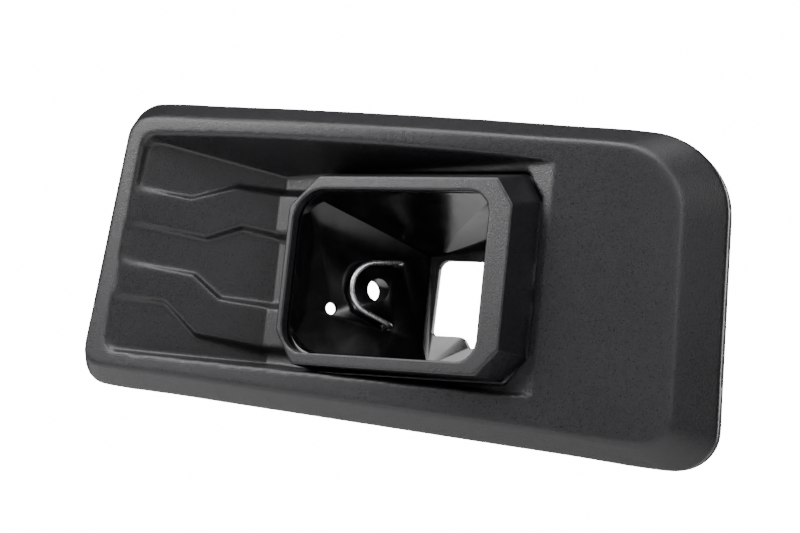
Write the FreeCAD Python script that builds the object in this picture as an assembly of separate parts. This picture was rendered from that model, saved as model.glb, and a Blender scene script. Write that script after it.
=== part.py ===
"""Recessed car door handle: grained escutcheon, collar, gloss finger pocket and sprung release paddle.

Work frame while building: X along the handle, Y into the door, Z up, with the collar's rim on the
plane Y = 0 and centred on X = Z = 0. Each piece is moved to the part's frame when it is written:
there the origin is the middle of the four threaded inserts, on the plane of their mouths.
"""
import FreeCAD, Part

import math
import os

Vec = FreeCAD.Vector
X_AXIS = Vec(1, 0, 0)
Y_AXIS = Vec(0, 1, 0)
Z_AXIS = Vec(0, 0, 1)

# ---- driving dimensions, millimetres -------------------------------------------------------
MOUNT_DEPTH = 56.0            # rim plane to the plane of the insert mouths
FIXING_X = 40.0               # half the spacing of the inserts along X
FIXING_Z = 38.0               # half the spacing of the inserts along Z

# escutcheon: face bent about a vertical axis, flat towards its left end
FACE_RADIUS = 900.0
FACE_TANGENT_X = -150.0       # where the face runs square to Y
FACE_TANGENT_Y = -8.7
FACE_WALL = 2.8
BEVEL_DEPTH = 10.0            # how far the edge bevel turns back from the face
BEVEL_LEAD = 1.0              # how far the bevel's surface is built past the face before trimming
EDGE_DEPTH = 2.5              # straight edge behind the bevel
GASKET = 3.0                  # foam strip behind that edge
BEVEL_WIDTHS = (7.0, 7.3, 12.7, 7.0)       # left, top, right, bottom
CORNER_RADII = (14.0, 30.0, 15.0, 12.0)    # top left, top right, bottom right, bottom left

# finger recess: a ramp from the left that meets a nearly flat plinth in a valley
RAMP_START_X = -118.0
RAMP_START_Y = -8.2
RAMP_SLOPE = 0.504
RIDGE_HEIGHT = 3.5            # ridge tops over the plinth, measured along Y
RIDGE_START_HEIGHT = 1.1      # ridge tops over the groove floors at the start of the ramp
PLINTH_END_X = 54.5
PLINTH_END_Y = 14.9
PLINTH_SLOPE = -0.064
VALLEY_X = -64.0
RIDGE_DRAFT = 3.3             # how much wider a ridge's foot is than its top, each side

# collar
COLLAR_LEFT, COLLAR_RIGHT = -46.8, 47.0
COLLAR_HALF_HEIGHT = 35.7
COLLAR_BASE_DEPTH = 18.0
COLLAR_FLARE = (3.2, 4.6, 3.5, 0.3)        # left, top, right, bottom growth down to the base
COLLAR_BACK = 33.0
LIP_DEPTH = 4.3
MOUTH = (-44.1, 30.6, 37.6, -31.0)         # left, top, right, bottom of the opening
MOUTH_RADII = (12.0, 8.0, 8.0, 10.0)         # top left, top right, bottom right, bottom left
SEAT = (-46.4, 33.2, 43.2, -33.6)          # hollow behind the lip that takes the pocket housing
SEAT_RADII = (15.0, 4.0, 8.0, 15.2)
SEAT_GAP = 0.2
COLLAR_GAP = 0.5

# pocket housing
HOUSING_FRONT = 4.6
POCKET_DEPTH = 50.0
WINDOW_RADII = (4.0, 2.0, 1.0, 1.0, 3.6, 2.0)
HOUSING_WALL = 2.5
FLANGE_FRONT, FLANGE_BACK = 33.0, 36.0
POST_RADIUS = 6.0
INSERT_RADIUS, INSERT_BORE, INSERT_LENGTH = 3.5, 2.5, 10.0
WALL_START = (-41.0, 12.0)                 # slanted wall, plan view
WALL_END = (-11.0, 50.0)
CABLE_HOLE = (27.7, -2.2, 4.35)            # along the slanted wall, height, radius
SMALL_HOLE = (9.5, -11.9, 2.3)
CABLE_BOSS_RADIUS, CABLE_BOSS_LENGTH = 6.5, 9.5
WIRE_RADIUS = 1.0
WIRE_STANDOFF = 4.0
WIRE_APEX = (-17.5, 1.9)                   # where the wire's two legs would meet
WIRE_BEND = 10.0
SPRING_RADIUS = 4.85           # mean radius of the return spring, clear of the end wall

# release paddle
PIVOT_X, PIVOT_Y = 35.0, 40.0
PIN_RADIUS, PIN_CLEARANCE = 2.5, 0.05
PIN_HEAD_RADIUS = 3.7
HUB_RADIUS = 4.6
HUB_LOW, HUB_HIGH = -19.7, 12.0
LUG_INNER, LUG_OUTER, LUG_RADIUS = 21.0, 29.0, 6.0
PADDLE_EDGE_X = 21.0
PADDLE_FRONT, PADDLE_BACK = 37.5, 40.5
ROD_EYE_X = 64.0
ROD_BORE = 1.6

SPAN = 200.0                               # longer than anything it has to cut through


# ---- geometry helpers ----------------------------------------------------------------------
def face_y(x):
    """Depth of the escutcheon's face at x."""
    run = x - FACE_TANGENT_X
    return FACE_TANGENT_Y + FACE_RADIUS - math.sqrt(FACE_RADIUS ** 2 - run ** 2)


def ridge_y(x):
    """Depth of the ridge tops on the ramp at x."""
    return RAMP_START_Y + RAMP_SLOPE * (x - RAMP_START_X)


def plinth_y(x):
    """Depth of the plinth at x."""
    return PLINTH_END_Y + PLINTH_SLOPE * (x - PLINTH_END_X)


def box(x0, x1, y0, y1, z0, z1):
    """Axis-parallel block between the given limits."""
    return Part.makeBox(x1 - x0, y1 - y0, z1 - z0, Vec(x0, y0, z0))


def rod(centre, direction, radius, length):
    """Cylinder from centre along direction."""
    return Part.makeCylinder(radius, length, centre, direction)


def tube(centre, direction, outer, inner, length):
    """Hollow cylinder from centre along direction."""
    return rod(centre, direction, outer, length).cut(rod(centre, direction, inner, length))


def fused(shapes):
    """All the shapes as one cleaned solid."""
    result = shapes[0]
    if len(shapes) > 1:
        result = shapes[0].fuse(shapes[1:])
    return result.removeSplitter()


def loop(points):
    """Closed wire through 3-D points."""
    return Part.makePolygon(list(points) + [points[0]])


def round_corner(before, corner, after, radius):
    """Tangent points and arc middle of a rounded corner."""
    back = (before - corner).normalize()
    ahead = (after - corner).normalize()
    half = math.acos(max(-1.0, min(1.0, back.dot(ahead)))) / 2
    reach = radius / math.tan(half)
    centre = corner + (back + ahead).normalize() * (radius / math.sin(half))
    middle = centre + (corner - centre).normalize() * radius
    return corner + back * reach, middle, corner + ahead * reach


def rounded_path(points, radii, closed):
    """Wire of straight runs joined by tangent arcs."""
    count = len(points)
    stops = []
    for i, (point, radius) in enumerate(zip(points, radii)):
        if radius == 0:
            stops.append((point, None, point))
        else:
            stops.append(round_corner(points[i - 1], point, points[(i + 1) % count], radius))
    edges = []
    for i, (start, middle, end) in enumerate(stops):
        if middle is not None:
            edges.append(Part.Arc(start, middle, end).toShape())
        if closed or i + 1 < count:
            edges.append(Part.LineSegment(end, stops[(i + 1) % count][0]).toShape())
    return Part.Wire(edges)


def prism(corners, radii, y0, y1):
    """Rounded polygon given as (x, z) corners, extruded from y0 to y1."""
    wire = rounded_path([Vec(x, y0, z) for x, z in corners], radii, True)
    return Part.Face(wire).extrude(Vec(0, y1 - y0, 0))


def faceted(points, faces):
    """Closed solid from named corners and lists of corner names."""
    skins = [Part.Face(loop([points[name] for name in names])) for names in faces]
    solid = Part.Solid(Part.Shell(skins))
    if solid.Volume < 0:
        solid.reverse()
    return solid


def moved(shape, x, y, z):
    """Copy of a shape shifted by x, y, z."""
    copy = shape.copy()
    copy.translate(Vec(x, y, z))
    return copy


def revolved(profile, base, axis):
    """Turned piece: (radius, height) profile spun about an axis through base."""
    wire = loop([Vec(r, 0, h) for r, h in profile])
    turned = Part.Face(wire).revolve(Vec(0, 0, 0), Z_AXIS, 360)
    turned.Placement = FreeCAD.Placement(base, FreeCAD.Rotation(Z_AXIS, axis))
    return turned


# ---- escutcheon ----------------------------------------------------------------------------
def outline_corners(left, top, right, bottom):
    """Corners of the escutcheon's outline, pulled in by the four insets."""
    def meet(edge_lean, edge_x, rail_slope, rail_z):
        z = (rail_z + rail_slope * edge_x) / (1 - rail_slope * edge_lean)
        return edge_x + edge_lean * z, z

    left_edge = (0.10, -132.6 + left)
    right_edge = (-0.03, 113.2 - right)
    top_rail = (-0.028, 61.6 - top)
    bottom_rail = (-0.06, -55.6 + bottom)
    return [meet(*left_edge, *top_rail), meet(*right_edge, *top_rail),
            meet(*right_edge, *bottom_rail), meet(*left_edge, *bottom_rail)]


def outline_ring(insets, shrink, depth_of, per_side=9):
    """Closed smooth wire round the outline; depth_of gives Y from x."""
    corners = [Vec(x, 0, z) for x, z in outline_corners(*insets)]
    radii = [max(radius - shrink, 4.0) for radius in CORNER_RADII]
    points = []
    for edge in rounded_path(corners, radii, True).Edges:
        for point in edge.discretize(per_side)[:-1]:
            points.append(Vec(point.x, depth_of(point.x), point.z))
    curve = Part.BSplineCurve()
    curve.interpolate(points, PeriodicFlag=True)
    return Part.Wire(curve.toShape())


def face_slab(front, back):
    """Everything between two copies of the face, moved back by front and by back."""
    x0 = FACE_TANGENT_X
    x1 = FACE_TANGENT_X + 290.0
    middle = (x0 + x1) / 2
    near = [Vec(x, face_y(x) + front, -SPAN / 2) for x in (x0, middle, x1)]
    far = [Vec(x, face_y(x) + back, -SPAN / 2) for x in (x0, middle, x1)]
    wire = Part.Wire([Part.Arc(*near).toShape(), Part.LineSegment(near[2], far[2]).toShape(),
                      Part.Arc(far[2], far[1], far[0]).toShape(),
                      Part.LineSegment(far[0], near[0]).toShape()])
    return Part.Face(wire).extrude(Vec(0, 0, SPAN))


def bevelled_block(grow_in, drop, shrink):
    """Block with the bevel round its edge; grow_in and drop make the matching inner block."""
    face_insets = [grow_in + (width - grow_in * 0.35) * (1 + BEVEL_LEAD / BEVEL_DEPTH) for width in BEVEL_WIDTHS]
    edge_insets = [grow_in] * 4
    rings = [outline_ring(face_insets, 6 + shrink, lambda x: -60.0),
             outline_ring(face_insets, 6 + shrink, lambda x: face_y(x) + drop - BEVEL_LEAD),
             outline_ring(edge_insets, shrink, lambda x: face_y(x) + drop + BEVEL_DEPTH),
             outline_ring(edge_insets, shrink, lambda x: 110.0)]
    return Part.makeLoft(rings, True, True)


def recess_walls(grow, y0=-60.0, y1=60.0):
    """Tapered walls of the finger recess, grown outwards for its outside."""
    def section(y):
        left = [-117.4 + lean + 0.3 * (y + 8) - grow for lean in (4.1, -3.0)]
        top = [47.3 + rise - 0.38 * y + grow * 1.07 for rise in (0.0, 3.2)]
        bottom = [-34.6 - fall + 0.08 * y - grow for fall in (0.0, 7.5)]
        right = 62.0 + grow
        corners = [(left[0], top[0]), (right, top[1]), (right, bottom[1]), (left[1], bottom[0])]
        return rounded_path([Vec(x, y, z) for x, z in corners], [5.0, 3.0, 3.0, 6.0], True)

    return Part.makeLoft([section(y0), section(y1)], True, True)


def recess_floor(ramp_drop, plinth_drop):
    """Everything in front of the valley floor, as a plan extruded along Z."""
    valley_y = plinth_y(VALLEY_X)
    slope = (valley_y - RAMP_START_Y - RIDGE_START_HEIGHT) / (VALLEY_X - RAMP_START_X)
    left, right = FACE_TANGENT_X, 80.0
    start_y = valley_y - slope * (VALLEY_X - left) + ramp_drop
    valley_x = VALLEY_X - (ramp_drop - plinth_drop) / (slope - PLINTH_SLOPE)
    plan = [(left, start_y), (valley_x, plinth_y(valley_x) + plinth_drop),
            (right, plinth_y(right) + plinth_drop), (right, -70.0), (left, -70.0)]
    face = Part.Face(loop([Vec(x, y, -SPAN / 2) for x, y in plan]))
    return face.extrude(Vec(0, 0, SPAN))


def ridge(upper, lower):
    """One raised ridge: down the ramp, then across the plinth to the collar."""
    def block(top_edge, bottom_edge, depth_of, slope):
        lean = math.sqrt(1 + slope ** 2)
        into = Vec(-slope / lean, 1 / lean, 0) * (RIDGE_HEIGHT / lean + 1.0)
        crest = [Vec(x, depth_of(x), z) for x, z in top_edge + bottom_edge[::-1]]
        sides = [RIDGE_DRAFT] * len(top_edge) + [-RIDGE_DRAFT] * len(bottom_edge)
        foot = [point + into + Vec(0, 0, shift) for point, shift in zip(crest, sides)]
        return Part.makeLoft([loop(crest), loop(foot)], True, True)

    ramp_part = block(upper, lower, ridge_y, RAMP_SLOPE)
    valley_top = upper[-1][1]
    valley_bottom = lower[-1][1]
    collar_x = COLLAR_LEFT - COLLAR_FLARE[0] - COLLAR_GAP
    across = ([(VALLEY_X - 1, valley_top), (collar_x, valley_top - 0.5)],
              [(VALLEY_X - 1, valley_bottom), (collar_x, valley_bottom - 0.5)])
    plinth_part = block(*across, lambda x: plinth_y(x) - RIDGE_HEIGHT, PLINTH_SLOPE)
    return [ramp_part, plinth_part]


def screw_spots():
    """(x, z) of the four screws that hold the pocket housing to the escutcheon."""
    return [(-53.0, 38.0), (-53.0, -36.0), (54.0, 39.0), (54.0, -38.5)]


def clip_spots():
    """(x, z) of the four push-in panel clips."""
    return [(-92.0, 53.8), (-125.0, -30.0), (88.0, 40.0), (92.0, -42.0)]


def clip_seat_y(x):
    """Depth of the seat of a panel clip at x."""
    return face_y(x) + BEVEL_DEPTH + EDGE_DEPTH + 0.5


def make_bezel():
    """Grained escutcheon with its fluted finger ramp."""
    block = bevelled_block(0.0, 0.0, 0.0)
    outer = block.common(face_slab(0.0, BEVEL_DEPTH + EDGE_DEPTH))
    inner = bevelled_block(2.5, FACE_WALL, 2.0).common(face_slab(FACE_WALL, SPAN))
    tub = recess_walls(FACE_WALL).common(recess_floor(FACE_WALL * 1.13, FACE_WALL))
    tub = tub.common(face_slab(0.6, SPAN))
    bosses = []
    for x, z in screw_spots():
        bosses.append(box(x - 3.6, x + 3.6, face_y(x) + 1, FLANGE_FRONT, z - 3.6, z + 3.6))
    for x, z in clip_spots():
        start = face_y(x) + 1
        bosses.append(rod(Vec(x, start, z), Y_AXIS, 4.2, clip_seat_y(x) - start).common(block))
    body = outer.cut(inner).fuse([tub] + bosses)
    body = body.cut(recess_walls(0.0).common(recess_floor(0.0, 0.0)))
    first = ridge([(-121, 29.4), (-116, 29.0), (-95, 26.4), (-80, 32.4), (-62, 31.4)],
                  [(-121, 15.2), (-111, 15.4), (-88, 12.8), (-76, 18.6), (-62, 16.6)])
    second = ridge([(-122, 1.0), (-113.5, -1.0), (-91, -3.4), (-81, -11.9), (-62, -13.2)],
                   [(-122, -13.7), (-100, -13.7), (-88, -25.4), (-65, -28.0), (-62, -28.0)])
    ridges = [part.common(face_slab(0.3, SPAN)) for part in first + second]
    body = body.fuse(ridges)
    body = body.cut(prism(collar_corners(1.0, COLLAR_GAP), [1.5] * 8, 5.0, 60.0))
    for x, z in screw_spots():
        body = body.cut(rod(Vec(x, FLANGE_FRONT - 8, z), Y_AXIS, 1.5, 10))
    for x, z in clip_spots():
        body = body.cut(rod(Vec(x, clip_seat_y(x) - 8, z), Y_AXIS, 2.0, 10))
    return body.removeSplitter()


def make_edge_gasket():
    """Foam strip round the escutcheon's back edge."""
    start = BEVEL_DEPTH + EDGE_DEPTH
    strip = face_slab(start, start + GASKET)
    outer = Part.makeLoft([outline_ring([0.5] * 4, 0.5, lambda x, y=y: y) for y in (-60, 110)], True, True)
    inner = Part.makeLoft([outline_ring([4.5] * 4, 4.5, lambda x, y=y: y) for y in (-60, 110)], True, True)
    return strip.common(outer).cut(inner)


def make_panel_clips():
    """Four push-in clips with a seat, a stem and three barbs."""
    profile = [(0, -7.5), (1.95, -7.5), (1.95, 0), (5.5, 0), (5.5, 1.4), (2.4, 1.4), (2.4, 4.0),
               (3.9, 4.6), (2.4, 7.0), (3.9, 7.6), (2.4, 10.0), (3.6, 10.6), (0.8, 14.0), (0, 14.0)]
    return [revolved(profile, Vec(x, clip_seat_y(x), z), Y_AXIS) for x, z in clip_spots()]


# ---- collar --------------------------------------------------------------------------------
def collar_corners(flare, grow):
    """Octagon of the collar; flare 0 is the rim and 1 the base."""
    left = COLLAR_LEFT - COLLAR_FLARE[0] * flare - grow
    top = COLLAR_HALF_HEIGHT + COLLAR_FLARE[1] * flare + grow
    right = COLLAR_RIGHT + COLLAR_FLARE[2] * flare + grow
    bottom = -COLLAR_HALF_HEIGHT - COLLAR_FLARE[3] * flare - grow
    cut_top_left, cut_top_right = (12.0, 12.0), (7.0, 9.8)
    cut_bottom_right, cut_bottom_left = (8.8, 9.6), (8.6, 12.6)
    return [(left, top - cut_top_left[1]), (left + cut_top_left[0], top),
            (right - cut_top_right[0], top), (right, top - cut_top_right[1]),
            (right, bottom + cut_bottom_right[1]), (right - cut_bottom_right[0], bottom),
            (left + cut_bottom_left[0], bottom), (left, bottom + cut_bottom_left[1])]


def rectangle(left, top, right, bottom):
    """Corners of an upright rectangle in (x, z)."""
    return [(left, top), (right, top), (right, bottom), (left, bottom)]


def collar_screw_spots():
    """(x, z) of the screws that hold the collar to the housing flange."""
    return [(-22.0, 36.9), (22.0, 36.9), (46.9, 18.0), (46.9, -18.0)]


def make_collar():
    """Octagonal collar round the pocket's mouth."""
    sections = []
    for flare, y in ((0.0, 0.0), (1.0, COLLAR_BASE_DEPTH), (1.0, COLLAR_BACK)):
        points = [Vec(x, y, z) for x, z in collar_corners(flare, 0.0)]
        sections.append(rounded_path(points, [1.5] * 8, True))
    body = Part.makeLoft(sections, True, True)
    body = body.cut(prism(rectangle(*MOUTH), MOUTH_RADII, -1.0, LIP_DEPTH + 1))
    body = body.cut(prism(rectangle(*SEAT), SEAT_RADII, LIP_DEPTH, COLLAR_BACK + 1))
    body = body.cut(box(43.0, 52.0, 29.0, COLLAR_BACK + 1, -8.5, 8.5))
    for x, z in collar_screw_spots():
        body = body.cut(rod(Vec(x, COLLAR_BACK - 10, z), Y_AXIS, 1.25, 12))
    return body.removeSplitter()


# ---- pocket housing ------------------------------------------------------------------------
def wall_frame():
    """Start, direction along, and direction towards the hand of the slanted wall."""
    start = Vec(WALL_START[0], WALL_START[1], 0)
    along = (Vec(WALL_END[0], WALL_END[1], 0) - start).normalize()
    return start, along, Vec(along.y, -along.x, 0)


def on_wall(along_wall, height, stand_off):
    """Point by its distance along the slanted wall, its height and its stand-off."""
    start, along, outward = wall_frame()
    return start + along * along_wall + outward * stand_off + Z_AXIS * height


def pocket_solid(grow, front, back):
    """Funnel-shaped block: the pocket's hollow, or its outside when grown."""
    left, top, right, bottom = MOUTH
    start, along, outward = wall_frame()
    inside = outward * -grow
    near_x = start.x + inside.x + (1.5 * along.x / along.y if grow else 0.0)
    near_y = start.y + inside.y + (1.5 if grow else 0.0)
    far_x = start.x + inside.x + (back - start.y - inside.y) * along.x / along.y
    flare = 0.9 * grow
    points = {
        "mouth_a": Vec(left - flare, front, top + flare), "mouth_b": Vec(right + flare, front, top + flare),
        "mouth_c": Vec(right + flare, front, bottom - flare), "mouth_d": Vec(left - flare, front, bottom - flare),
        "near_top": Vec(near_x, near_y, 15.4 + grow), "near_low": Vec(near_x, near_y, -13.9 - grow),
        "far_top": Vec(far_x, back, 13.5 + grow), "far_low": Vec(far_x, back, -21.0 - grow),
        "deep_low": Vec(-8.0 - 0.5 * grow, back, -29.0 - grow),
        "back_top": Vec(42.0 + grow, back, 24.0 + grow), "back_low": Vec(42.0 + grow, back, -24.0 - grow)}
    faces = [("mouth_a", "mouth_b", "mouth_c", "mouth_d"),
             ("mouth_a", "mouth_d", "near_low"), ("mouth_a", "near_low", "near_top"),
             ("near_top", "near_low", "far_low", "far_top"),
             ("far_top", "far_low", "deep_low", "back_low", "back_top"),
             ("mouth_b", "back_top", "back_low"), ("mouth_b", "back_low", "mouth_c"),
             ("mouth_a", "near_top", "far_top"), ("mouth_a", "far_top", "mouth_b"),
             ("mouth_b", "far_top", "back_top"),
             ("mouth_d", "far_low", "near_low"), ("mouth_d", "deep_low", "far_low"),
             ("mouth_d", "mouth_c", "deep_low"), ("mouth_c", "back_low", "deep_low")]
    return faceted(points, faces)


def window_corners():
    """(x, z) outline of the window in the back wall, with the tab below it."""
    return [(-7.2, 12.5), (14.0, 12.5), (14.0, -21.2), (9.0, -21.2), (6.0, -17.0), (-7.9, -17.0)]


def pocket_sleeve(inset):
    """Rounded prism that keeps the pocket's corners inside the collar's seat."""
    left, top, right, bottom = SEAT
    corners = rectangle(left + inset, top - inset, right - inset, bottom + inset)
    radii = [max(radius - inset, 1.5) for radius in SEAT_RADII]
    return prism(corners, radii, HOUSING_FRONT - 1, POCKET_DEPTH + HOUSING_WALL + 1)


def fixing_spots():
    """(x, z) of the four mounting posts."""
    return [(x, z) for x in (-FIXING_X, FIXING_X) for z in (-FIXING_Z, FIXING_Z)]


def make_pocket_housing():
    """Gloss finger pocket with its slanted wall, flange, mounting posts and pivot lugs."""
    back = POCKET_DEPTH + HOUSING_WALL
    shell = pocket_solid(HOUSING_WALL, HOUSING_FRONT, back).common(pocket_sleeve(SEAT_GAP))
    flange = prism(rectangle(-60.0, 46.0, 60.0, -45.0), [6.0] * 4, FLANGE_FRONT, FLANGE_BACK)
    flange = flange.cut(box(-70.0, -20.0, 30.0, 40.0, -20.5, 19.0))
    flange = flange.cut(box(44.0, 70.0, 30.0, 40.0, -8.5, 8.5))
    added = [flange]
    for x, z in fixing_spots():
        added.append(rod(Vec(x, FLANGE_BACK - 1, z), Y_AXIS, POST_RADIUS, MOUNT_DEPTH - FLANGE_BACK + 1))
        added.append(box(x - 1.2, x + 1.2, FLANGE_BACK - 1, FLANGE_BACK + 10,
                         min(z, 0.6 * z), max(z, 0.6 * z)))
    for side in (-1, 1):
        low = min(side * LUG_INNER, side * LUG_OUTER)
        added.append(rod(Vec(PIVOT_X, PIVOT_Y, low), Z_AXIS, LUG_RADIUS, LUG_OUTER - LUG_INNER))
    start, along, outward = wall_frame()
    hole_s, hole_z, hole_r = CABLE_HOLE
    added.append(rod(on_wall(hole_s, hole_z, -1.0), outward * -1, CABLE_BOSS_RADIUS, CABLE_BOSS_LENGTH))
    added.append(box(42.0, 57.0, 45.0, 48.0, -6.0, 6.0))
    body = fused([shell] + added)
    lugs = [rod(Vec(PIVOT_X, PIVOT_Y, z), Z_AXIS, LUG_RADIUS, 10) for z in (-LUG_INNER - 10, LUG_INNER)]
    hollow = pocket_solid(0.0, HOUSING_FRONT, POCKET_DEPTH).common(pocket_sleeve(SEAT_GAP + HOUSING_WALL))
    body = body.cut(hollow.cut(lugs[0]).cut(lugs[1]))
    body = body.cut(prism(window_corners(), WINDOW_RADII, POCKET_DEPTH - 1, back + 1))
    body = body.cut(rod(on_wall(hole_s, hole_z, 5.0), outward * -1, hole_r, 25))
    small_s, small_z, small_r = SMALL_HOLE
    body = body.cut(rod(on_wall(small_s, small_z, 5.0), outward * -1, small_r, 12))
    for s, z in wire_feet():
        body = body.cut(rod(on_wall(s, z, 5.0), outward * -1, WIRE_RADIUS + 0.3, 15))
        body = body.cut(rod(on_wall(s, z, 5.0), outward * -1, WIRE_RADIUS + 1.1, 6))
    body = body.cut(box(38.0, 46.0, 34.0, 43.6, -6.5, 6.5))
    for z in (-LUG_OUTER - 1, LUG_INNER - 2):
        body = body.cut(rod(Vec(PIVOT_X, PIVOT_Y, z), Z_AXIS, PIN_RADIUS + 1.0, LUG_OUTER - LUG_INNER + 3))
    for x, z in fixing_spots():
        body = body.cut(rod(Vec(x, MOUNT_DEPTH - INSERT_LENGTH - 2, z), Y_AXIS, INSERT_RADIUS, 20))
    for x, z in screw_spots():
        body = body.cut(rod(Vec(x, FLANGE_FRONT - 1, z), Y_AXIS, 1.8, 5))
    for x, z in collar_screw_spots():
        body = body.cut(rod(Vec(x, FLANGE_FRONT - 1, z), Y_AXIS, 1.5, 5))
    body = body.cut(rod(Vec(52.0, 44.0, 0), Y_AXIS, 1.5, 5))
    body = body.cut(rod(Vec(22.0, 49.0, -10.0), Y_AXIS, 1.5, 5))
    body = body.fuse(box(37.0, 41.5, 31.6, 33.6, 16.5, 26.0))
    return body.removeSplitter()


def wire_feet():
    """Where the wire clip enters the slanted wall: (along the wall, height)."""
    return [(35.4, 9.0), (33.5, -15.9)]


def make_wire_clip():
    """Bent steel wire that stands off the slanted wall round the cable hole."""
    (top_s, top_z), (low_s, low_z) = wire_feet()
    lift = WIRE_STANDOFF
    apex_s, apex_z = WIRE_APEX
    spots = [(top_s, top_z, -8.0), (top_s, top_z, lift), (apex_s, apex_z, lift),
             (low_s, low_z, lift), (low_s, low_z, -8.0)]
    path = rounded_path([on_wall(*spot) for spot in spots], [0, 2.6, WIRE_BEND, 2.6, 0], False)
    start, along, outward = wall_frame()
    ring = Part.Wire(Part.makeCircle(WIRE_RADIUS, on_wall(*spots[0]), outward))
    return path.makePipeShell([ring], True, False)


def make_wire_nuts():
    """Push-on nuts that hold the wire clip behind the slanted wall."""
    start, along, outward = wall_frame()
    nuts = []
    for s, z in wire_feet():
        disc = tube(on_wall(s, z, -HOUSING_WALL - 0.9), outward, 3.8, WIRE_RADIUS, 0.8)
        nuts.append(disc)
    return nuts


def make_inserts():
    """Brass threaded inserts; the thread is a plain hole of its major diameter."""
    inserts = []
    for x, z in fixing_spots():
        base = Vec(x, MOUNT_DEPTH - INSERT_LENGTH, z)
        inserts.append(tube(base, Y_AXIS, INSERT_RADIUS, INSERT_BORE, INSERT_LENGTH))
    return inserts


def make_screws(spots, shaft, length, head, head_height):
    """Pan-head screws driven from behind the housing flange."""
    profile = [(0, -length), (0.5 * shaft, -length), (shaft, -length + 2), (shaft, 0), (head, 0),
               (head, 0.6 * head_height), (0.7 * head, head_height), (0, head_height)]
    screws = []
    for x, z in spots:
        screw = revolved(profile, Vec(x, FLANGE_BACK, z), Y_AXIS)
        slot = box(x - 0.5 * head, x + 0.5 * head, FLANGE_BACK + 0.55 * head_height, FLANGE_BACK + 5,
                   z - 0.35, z + 0.35)
        cross = box(x - 0.35, x + 0.35, FLANGE_BACK + 0.55 * head_height, FLANGE_BACK + 5,
                    z - 0.5 * head, z + 0.5 * head)
        screws.append(screw.cut(slot).cut(cross))
    return screws


# ---- release paddle ------------------------------------------------------------------------
def make_paddle():
    """Finger paddle with its hub, spring rib and rod arm."""
    hub = rod(Vec(PIVOT_X, PIVOT_Y, HUB_LOW), Z_AXIS, HUB_RADIUS, HUB_HIGH - HUB_LOW)
    plate = box(PADDLE_EDGE_X, PIVOT_X, PADDLE_FRONT, PADDLE_BACK, -18.0, HUB_HIGH)
    roll = rod(Vec(PADDLE_EDGE_X, PADDLE_BACK - 1.6, -18.0), Z_AXIS, 2.0, HUB_HIGH + 18.0)
    ribs = [box(24.0, PIVOT_X, PADDLE_BACK - 1, PADDLE_BACK + 2.5, z, z + 1.6) for z in (-15.0, -5.0, 5.0)]
    spring_rib = box(25.5, 28.0, PADDLE_BACK - 1, 44.3, 8.0, 14.8)
    arm = box(PIVOT_X, ROD_EYE_X, PIVOT_Y - 2, PIVOT_Y + 2, -4.0, 4.0)
    eye = rod(Vec(ROD_EYE_X, PIVOT_Y, -4.0), Z_AXIS, 5.2, 8.0)
    body = fused([hub, plate, roll, spring_rib, arm, eye] + ribs)
    body = body.cut(rod(Vec(PIVOT_X, PIVOT_Y, HUB_LOW - 1), Z_AXIS, PIN_RADIUS, 40))
    return body.cut(rod(Vec(ROD_EYE_X, PIVOT_Y, -5.0), Z_AXIS, 2.6, 10))


def make_paddle_pad():
    """Soft ribbed pad on the paddle's face."""
    pad = box(22.5, 30.0, PADDLE_FRONT - 1.2, PADDLE_FRONT, -16.0, 10.0)
    beads = []
    for i in range(6):
        beads.append(rod(Vec(23.0, PADDLE_FRONT - 1.2, -14.0 + 4.4 * i), X_AXIS, 0.7, 6.5))
    return fused([pad] + beads)


def make_pivot_pin():
    """Headed steel pin with a groove for its clip."""
    top = LUG_OUTER + 0.7
    pin = rod(Vec(PIVOT_X, PIVOT_Y, -LUG_OUTER - 3.2), Z_AXIS, PIN_RADIUS, top + LUG_OUTER + 3.2)
    head = rod(Vec(PIVOT_X, PIVOT_Y, top), Z_AXIS, PIN_HEAD_RADIUS, 1.6)
    groove = tube(Vec(PIVOT_X, PIVOT_Y, -LUG_OUTER - 1.5), Z_AXIS, PIN_HEAD_RADIUS, 2.0, 0.9)
    return fused([pin, head]).cut(groove)


def make_pin_clip():
    """Open retaining ring in the pin's groove."""
    ring = tube(Vec(PIVOT_X, PIVOT_Y, -LUG_OUTER - 1.45), Z_AXIS, PIN_HEAD_RADIUS, 2.0, 0.8)
    return ring.cut(box(PIVOT_X, PIVOT_X + 8, PIVOT_Y - 1.5, PIVOT_Y + 1.5, -40.0, -20.0))


def make_bushings():
    """Flanged bearing bushings in the housing's two lugs."""
    bushings = []
    for side in (-1, 1):
        inner_face = Vec(PIVOT_X, PIVOT_Y, side * (LUG_INNER - 0.9))
        bore = PIN_RADIUS + PIN_CLEARANCE
        collar = tube(inner_face, Z_AXIS * side, 4.8, bore, 0.9)
        sleeve = tube(inner_face, Z_AXIS * side, PIN_RADIUS + 1.0, bore, LUG_OUTER - LUG_INNER + 0.9)
        bushings.append(fused([collar, sleeve]))
    return bushings


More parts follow.
